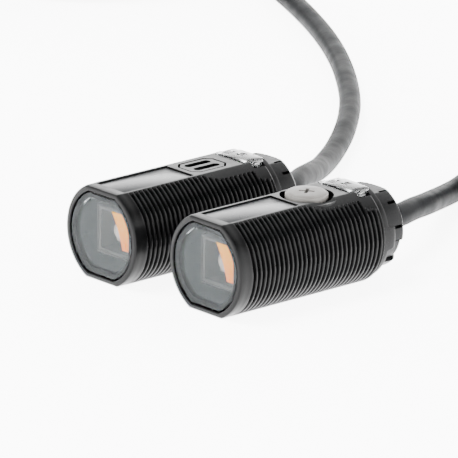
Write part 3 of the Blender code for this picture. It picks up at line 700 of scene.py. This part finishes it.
def barrel_radius(y, angle):
    lift = np.degrees(np.abs((angle + math.pi / 2) % math.pi - math.pi / 2))
    edge = np.interp(y, [p for p, _ in SHOULDER], [a for _, a in SHOULDER])
    edge = np.where(np.sin(angle) > 0, edge, SHOULDER[0][1])
    open_part = 1 - smoothstep(lift, edge - 1.6, edge + 0.4)
    ends = smoothstep(y, THREAD_START, THREAD_START + 0.5) * (1 - smoothstep(y, THREAD_END - 0.4, THREAD_END))
    radius = CREST - thread_depth(y, angle) * open_part * ends
    collar = smoothstep(y, THREAD_END - 0.1, THREAD_END + 0.5)
    return radius - collar * 0.5


def barrel_grid():
    angles = np.arange(BARREL_COLUMNS) * TAU / BARREL_COLUMNS
    front = [(0.0, 0.45), (0.06, 0.25), (0.2, 0.1), (0.45, 0.05), (1.2, 0.05), (2.0, 0.05)]
    thread = np.arange(THREAD_START, 32.7, PITCH / ROWS_PER_PITCH)
    lug = 1 - smoothstep(np.degrees(np.abs((angles + math.pi / 2) % math.pi - math.pi / 2)), 12.5, 14.5)
    rear_end = 33.8 + 1.4 * lug
    rows = []

    def row(y, radius, flat):
        x = radius * np.cos(angles)
        z = np.clip(radius * np.sin(angles), -flat, flat)
        rows.append(np.stack([x, np.broadcast_to(y, x.shape), z], axis=1))

    for y, less in front:
        row(y, CREST - less - 0.0 * angles, FLAT - less + 0.05)
    for y in thread:
        row(y, barrel_radius(np.full_like(angles, y), angles), FLAT)
    last = thread[-1]
    base = barrel_radius(np.full_like(angles, last), angles)
    for share, less in ((0.4, 0.0), (0.75, 0.0), (0.9, 0.05), (0.97, 0.14), (1.0, 0.3)):
        row(last + (rear_end - last) * share, base - less, FLAT - less)
    row(rear_end, COLLAR_RADIUS + 0 * angles, FLAT)
    row(33.0 + 0 * angles, COLLAR_RADIUS + 0 * angles, FLAT)
    row(32.9 + 0 * angles, BORE_RADIUS + 0 * angles, FLAT)
    row(15.0 + 0 * angles, BORE_RADIUS + 0 * angles, FLAT)
    row(2.0 + 0 * angles, BORE_RADIUS + 0 * angles, FLAT)
    row(1.99 + 0 * angles, RECESS_RADIUS + 0 * angles, RECESS_FLAT)
    row(0.12 + 0 * angles, RECESS_RADIUS + 0 * angles, RECESS_FLAT)
    row(0.0 + 0 * angles, 8.02 + 0 * angles, 7.27)
    verts = np.concatenate(rows)
    return temporary(verts, rings_to_faces(len(rows), BARREL_COLUMNS, closed_rows=True))


def make_barrel(head, opening):
    shell = barrel_grid()
    if opening == "well":
        shell = cut(shell, [rod(5.3, (0, ADJUSTER_Y), 5.6, 7.6)], "UNION")
    cutters = [
        block((-3.55, 2.05, 7.45), (3.55, 17.6, CUTTER_TOP), bevel=0.12),
        block((-3.85, 28.4, 5.0), (3.85, 33.3, CUTTER_TOP), bevel=0.3),
        block((-5.25, 29.6, 6.7), (5.25, 32.7, CUTTER_TOP), bevel=0.35),
    ]
    if opening == "well":
        cutters += [
            rod(4.55, (0, ADJUSTER_Y), 6.3, CUTTER_TOP, 96),
            rod(1.4, (0, ADJUSTER_Y), 5.0, 6.6, 32),
        ]
    else:
        cutters.append(blank_outline(2.95, 4.05, 5.2, CUTTER_TOP))
    shell = cut(shell, cutters)
    finished(
        shell,
        head + "_threaded_barrel",
        ["barrel"],
        axes[head],
        stands_for=(head + "_barrel_case",),
        sharp=32,
    )


def blank_outline(half_x, half_y, low, high, corner=1.3, center_y=ADJUSTER_Y):
    """An eight-sided post in mm."""
    loop = [
        (half_x, -half_y + corner), (half_x, half_y - corner), (half_x - corner, half_y),
        (-half_x + corner, half_y), (-half_x, half_y - corner), (-half_x, -half_y + corner),
        (-half_x + corner, -half_y), (half_x - corner, -half_y),
    ]
    points = [(x, y + center_y, z) for z in (low, high) for x, y in loop]
    return temporary(points, rings_to_faces(2, 8))


make_barrel("receiver", "well")
make_barrel("emitter", "blank")

# ---------------------------------------------------------------- front optics

# These sit nearer the lens than the CAD's inner pieces do.
DOME_RADIUS = 2.1
DOME_CENTER = 6.0
LENS_OUTLINE, LENS_FLAT = 7.6, 6.85
LENS_COLUMNS = 160


def flatted_ring(radius, flat, y, columns=LENS_COLUMNS):
    angles = np.arange(columns) * TAU / columns
    reach = np.minimum(radius, flat / np.maximum(np.abs(np.sin(angles)), 1e-6))
    return np.stack([reach * np.cos(angles), np.full(columns, float(y)), reach * np.sin(angles)], axis=1)


def make_lens(head):
    """A window with two flats. Its border is stepped back for the seal, and its back swells a little."""
    edge, clear = (LENS_OUTLINE, LENS_FLAT), (LENS_OUTLINE - 0.85, LENS_FLAT - 0.85)
    front, seat, back, swell = 0.15, 0.55, 1.15, 0.06
    stations = [(edge[0] * s, edge[1] * s, front) for s in (0.05, 0.35, 0.7, 0.96)]
    stations += [(edge[0] - 0.07, edge[1] - 0.07, front), (edge[0] - 0.02, edge[1] - 0.02, front + 0.02)]
    stations += [(*edge, front + 0.08), (*edge, seat), (*clear, seat)]
    stations += [(clear[0] - 0.12, clear[1] - 0.12, back - 0.1)]
    stations += [(clear[0] - 0.22, clear[1] - 0.22, back)]
    for share in (0.94, 0.8, 0.6, 0.4, 0.2, 0.05):
        inner = clear[0] - 0.22, clear[1] - 0.22
        stations.append((inner[0] * share, inner[1] * share, back + swell * (1 - share**2)))
    rows = [flatted_ring(*station) for station in stations]
    helper = temporary(np.concatenate(rows), rings_to_faces(len(rows), LENS_COLUMNS))
    finished(
        helper, head + "_lens", ["clear_optic"], axes[head], stands_for=(head + "_front_lens",), sharp=20
    )
    inside, outside = (clear[0] + 0.02, clear[1] + 0.02), (edge[0] - 0.02, edge[1] - 0.02)
    loop = [(*outside, seat - 0.02), (*outside, 1.85), (*inside, 1.85), (*inside, seat - 0.02)]
    seal_rows = np.concatenate([flatted_ring(*s) for s in loop])
    seal = temporary(seal_rows, rings_to_faces(4, LENS_COLUMNS, closed_rows=True))
    finished(seal, head + "_seal", ["rubber"], axes[head], stands_for=(head + "_lens_gasket",), sharp=30)


def make_optics(head, device):
    """A square holder, the device with its dome in the middle of it, and the amber flex beside the dome."""
    holder = block((-4.2, 3.0, -4.2), (4.2, 10.6, 4.2), bevel=0.35)
    holder = cut(holder, [block((-3.4, 1.0, -3.4), (3.4, 9.8, 3.4), bevel=0.25)])
    holder = cut(holder, [block((-3.9, 2.0, -3.9), (3.9, 3.35, 3.9), bevel=0.1)])
    finished(holder, head + "_holder", ["holder"], axes[head], stands_for=(head + "_optics_holder",))

    chip = block((-2.5, 5.9, -2.5), (2.5, 8.6, 2.5), bevel=0.15)
    dome = []
    for step in range(13):
        angle = math.pi / 2 * step / 12.3
        dome.append((DOME_RADIUS * math.cos(angle), DOME_CENTER - DOME_RADIUS * math.sin(angle)))
    dome = [(DOME_RADIUS, 6.4)] + dome
    chip = cut(chip, [temporary(spun(dome, 48), rings_to_faces(len(dome), 48))], "UNION")
    finished(chip, head + "_device", ["device"], axes[head], stands_for=(f"{head}_{device}",))

    top, bottom = (1.15, 3.15, 3.55), (3.0, 3.3, -2.6)
    half_top, half_bottom, thickness = 1.6, 0.95, 0.12
    stations = [((1.15, 7.2, 3.3), half_top), ((1.15, 4.4, 3.3), half_top), ((1.15, 3.5, 3.38), half_top)]
    count = 14
    for step in range(count + 1):
        share = step / count
        bow = 0.35 * math.sin(math.pi * share)
        place = [a + (b - a) * share for a, b in zip(top, bottom)]
        stations.append(((place[0] + bow, place[1], place[2]), half_top + (half_bottom - half_top) * share))
    verts = []
    for index, ((x, y, z), half) in enumerate(stations):
        behind = (0, thickness, 0) if index > 2 else (0, 0, -thickness)
        verts += [(x - half, y, z), (x + half, y, z)]
        verts += [(x + half, y + behind[1], z + behind[2]), (x - half, y + behind[1], z + behind[2])]
    film = temporary(verts, rings_to_faces(len(stations), 4))
    finished(film, head + "_flex", ["film"], axes[head], stands_for=(head + "_flex_circuit",))


# ---------------------------------------------------------------- top pieces

LABEL_LOW, LABEL_HIGH = 7.55, 7.75
KNOB_SLOT_ANGLE = 38
# Dark blocks in the window's pockets: painted shade of the recesses under the window.
WINDOW_SHADES = [((-2.9, 29.6), (-1.3, 31.5)), ((-0.3, 30.3), (1.1, 32.0))]


def make_label(head):
    plate = block((-3.35, 2.25, LABEL_LOW), (3.35, 17.4, LABEL_HIGH), bevel=0.05, segments=2)
    finished(plate, head + "_label", ["label"], axes[head], stands_for=(head + "_label_plate",))


def crowned(obj, center, half, height):
    """Raises the top of a helper into a shallow pillow."""
    for v in obj.data.vertices:
        x, y = (v.co.x - center[0]) / half[0], (v.co.y - center[1]) / half[1]
        v.co.z += height * max(0, 1 - x * x) * max(0, 1 - y * y) if v.co.z > 7.6 else 0
    return obj


def fine_block(low, high, counts, bevel):
    """A rounded box whose faces are cut into a grid, in mm."""
    obj = block(low, high, bevel=bevel, segments=3)
    bm = bmesh.new()
    bm.from_mesh(obj.data)
    for axis in range(3):
        normal = [0, 0, 0]
        normal[axis] = 1
        for step in range(1, counts[axis]):
            place = [0, 0, 0]
            place[axis] = low[axis] + (high[axis] - low[axis]) * step / counts[axis]
            geometry = bm.verts[:] + bm.edges[:] + bm.faces[:]
            bmesh.ops.bisect_plane(bm, geom=geometry, plane_co=place, plane_no=normal)
    bm.to_mesh(obj.data)
    bm.free()
    return obj


def make_window(head):
    """A clear moulding in the rear of the top flat; one corner of it reaches round to the side."""
    window = fine_block((-3.8, 28.45, 5.3), (3.8, 33.25, 8.1), (8, 6, 1), 0.3)
    window = crowned(window, (0, 30.85), (3.8, 2.4), 0.3)
    wing = block((-5.0, 29.85, 7.0), (5.0, 31.2, 7.72), bevel=0.18, segments=1)
    window = cut(window, [wing], "UNION")
    for (x0, y0), (x1, y1) in WINDOW_SHADES:
        window = cut(window, [block((x0, y0, 7.5), (x1, y1, ABOVE), bevel=0.05)])
    finished(
        window, head + "_window", ["window"], axes[head], stands_for=(head + "_indicator_window",), sharp=28
    )
    # Dark blocks that paint the shade of the recesses under the window.
    for index, ((x0, y0), (x1, y1)) in enumerate(WINDOW_SHADES):
        shade = block((x0 + 0.03, y0 + 0.03, 7.52), (x1 - 0.03, y1 - 0.03, 8.2), bevel=0.04, segments=2)
        finished(shade, f"{head}_window_shade_{index + 1}", ["window_dark"], axes[head], slot="window")


def make_knob():
    """A stepped white knob with a cross slot."""
    profile = [
        (0.05, 7.25), (3.3, 7.25), (3.55, 7.35), (3.62, 7.5), (3.62, 8.22), (3.56, 8.33), (3.42, 8.36),
        (3.36, 8.33), (3.3, 8.34), (3.25, 8.5), (3.15, 8.6), (2.95, 8.64), (1.6, 8.65), (0.6, 8.65),
        (0.05, 8.65),
    ]
    knob = temporary(spun(profile, 96, "Z"), rings_to_faces(len(profile), 96))
    slots = [
        block((-1.35, -0.3, 7.85), (1.35, 0.3, ABOVE), bevel=0.08),
        block((-0.3, -1.35, 7.85), (0.3, 1.35, ABOVE), bevel=0.08),
    ]
    for slot in slots:
        slot.data.transform(Matrix.Rotation(math.radians(KNOB_SLOT_ANGLE), 4, "Z"))
    knob = cut(knob, slots)
    knob.data.transform(Matrix.Translation((0, ADJUSTER_Y, 0)))
    finished(knob, "adjuster_cap", ["knob"], axes["receiver"], body="adjuster", stands_for=("adjuster_knob",))


def stadium(center, half_width, half_length, low, high, steps=12):
    """A round-ended post whose long side lies along Y, in mm."""
    loop = []
    straight = half_length - half_width
    for end in (1, -1):
        for step in range(steps + 1):
            angle = math.pi * step / steps + (0 if end == 1 else math.pi)
            across, along = half_width * math.cos(angle), half_width * math.sin(angle)
            loop.append((center[0] + across, center[1] + end * straight + along))
    points = [(x, y, z) for z in (low, high) for x, y in loop]
    return temporary(points, rings_to_faces(2, len(loop)))


def make_blank():
    """The moulded blank in the emitter: two equal round-ended slots with even ribs across them."""
    plate = blank_outline(2.6, 3.7, 5.6, 7.97, corner=1.15)
    half_width, half_length, ribs = 0.72, 2.75, 6
    for x in (-1.15, 1.15):
        plate = cut(plate, [stadium((x, ADJUSTER_Y), half_width, half_length, 6.6, ABOVE)])
        for k in range(ribs):
            y = ADJUSTER_Y + (k - (ribs - 1) / 2) * 2 * half_length / (ribs + 0.6)
            low, high = (x - half_width - 0.05, y - 0.16, 6.5), (x + half_width + 0.05, y + 0.16, 7.15)
            plate = cut(plate, [block(low, high)], "UNION")
    finished(
        plate, "emitter_blank", ["plug"], axes["emitter"], stands_for=("emitter_blanking_plug",), sharp=30
    )


# ---------------------------------------------------------------- end caps

CAP_COLUMNS = 180
CAP_SLOTS = (-10, 10, 44, 65, 115, 136, 170, 190, 224, 245, 295, 316)


def make_end_cap(head):
    angles = np.arange(CAP_COLUMNS) * TAU / CAP_COLUMNS
    from_side = np.degrees(np.abs((angles + math.pi / 2) % math.pi - math.pi / 2))
    below = np.sin(angles) < 0
    band = smoothstep(from_side, 9.5, 11.5) * (1 - smoothstep(from_side, 43, 45))
    lowered = np.where(below, band, 0) * 0.55
    rows = []

    def row(y, less, inner=None):
        radius = np.full(CAP_COLUMNS, inner) if inner else 7.3 - less - lowered
        x, z = radius * np.cos(angles), np.clip(radius * np.sin(angles), -7.3, 6.5 if not inner else 99)
        rows.append(np.stack([x, np.full(CAP_COLUMNS, float(y)), z], axis=1))

    row(32.2, 0, 3.2)
    row(32.2, 0, 6.5)
    row(33.1, 0, 6.5)
    row(33.2, 0)
    rounding = ((37.8, 0.05), (38.05, 0.18), (38.28, 0.4), (38.43, 0.68), (HEAD_LENGTH, 1.0))
    for y, less in ((35.0, 0), (37.5, 0), *rounding):
        row(y, less)
    row(HEAD_LENGTH, 0, 3.7)
    row(38.3, 0, 3.45)
    row(37.9, 0, 3.2)
    cap = temporary(np.concatenate(rows), rings_to_faces(len(rows), CAP_COLUMNS, closed_rows=True))
    cutters = []
    for degrees in CAP_SLOTS:
        cutters.append(
            block((6.1, 36.1, -0.27), (8.2, 37.7, 0.27), bevel=0.06, turn=-math.radians(degrees), segments=2)
        )
    cap = cut(cap, cutters)
    finished(cap, head + "_rear_cap", ["end_cap"], axes[head], stands_for=(head + "_end_cap",), sharp=32)


for head in axes:
    make_lens(head)
    make_optics(head, "photodiode" if head == "receiver" else "light_source")
    make_label(head)
    make_window(head)
    make_end_cap(head)
make_knob()
make_blank()

# ---------------------------------------------------------------- CAD pieces that keep their shape

slot_of = {part["node"]: part["material_slot"] for part in frame["record"]["subparts"]}
for name, node in nodes.items():
    node.data.materials.clear()
    node.data.materials.append(paints[slot_of[name]].material)

# ---------------------------------------------------------------- stage and light

FLOOR_REACH = 30.0
BRIGHT = 8.5
FLOOR_GLOW = 0.88


def make_floor():
    count = 48
    verts = [(0.0, 0.0, 0.0)]
    rings = (0.3, 1.5, 8.0, FLOOR_REACH)
    for reach in rings:
        for k in range(count):
            verts.append((reach * math.cos(TAU * k / count), reach * math.sin(TAU * k / count), 0.0))
    faces = [(0, 1 + k, 1 + (k + 1) % count) for k in range(count)]
    for ring in range(len(rings) - 1):
        low, high = 1 + ring * count, 1 + (ring + 1) * count
        faces += [(low + k, high + k, high + (k + 1) % count, low + (k + 1) % count) for k in range(count)]
    mesh = bpy.data.meshes.new("floor")
    mesh.from_pydata(verts, [], faces)
    floor = bpy.data.objects.new("floor", mesh)
    bpy.context.scene.collection.objects.link(floor)
    paint = Paint("pale_floor", Roughness=0.6, Emission_Strength=BRIGHT * FLOOR_GLOW)
    tone = paint.ramp(paint.noise(90.0), [(0.3, (0.80, 0.80, 0.80)), (0.7, (0.82, 0.82, 0.82))])
    paint.color(tone)
    paint.shader.inputs["Emission Color"].default_value = (1, 1, 1, 1)
    mesh.materials.append(paint.material)


def make_world():
    """Bright round the horizon, and dark overhead."""
    world = bpy.data.worlds.new("studio")
    bpy.context.scene.world = world
    world.use_nodes = True
    tree = world.node_tree
    background = tree.nodes["Background"]
    place = tree.nodes.new("ShaderNodeTexCoord")
    split = tree.nodes.new("ShaderNodeSeparateXYZ")
    ramp = tree.nodes.new("ShaderNodeValToRGB")
    tree.links.new(place.outputs["Generated"], split.inputs["Vector"])
    tree.links.new(split.outputs["Z"], ramp.inputs["Fac"])
    tree.links.new(ramp.outputs["Color"], background.inputs["Color"])
    elements = ramp.color_ramp.elements
    elements[0].position, elements[0].color = 0.0, (1, 1, 1, 1)
    elements[1].position, elements[1].color = 0.62, (0.012, 0.012, 0.013, 1)
    middle = elements.new(0.36)
    middle.color = (0.9, 0.9, 0.9, 1)
    background.inputs["Strength"].default_value = BRIGHT


def area_light(name, place, target, size, power):
    data = bpy.data.lights.new(name, "AREA")
    data.shape = "RECTANGLE"
    data.size, data.size_y = size
    data.energy = power
    light = bpy.data.objects.new(name, data)
    light.location = place
    light.rotation_mode = "QUATERNION"
    light.rotation_quaternion = (Vector(target) - Vector(place)).to_track_quat("-Z", "Y")
    bpy.context.scene.collection.objects.link(light)


make_floor()
make_world()
area_light("softbox_top", (-0.5, -0.5, 1.6), (0, 0, 0), (0.9, 0.9), 70)
area_light("softbox_back", (0.0, 1.15, 1.35), (0, 0, 0), (1.5, 0.7), 16)
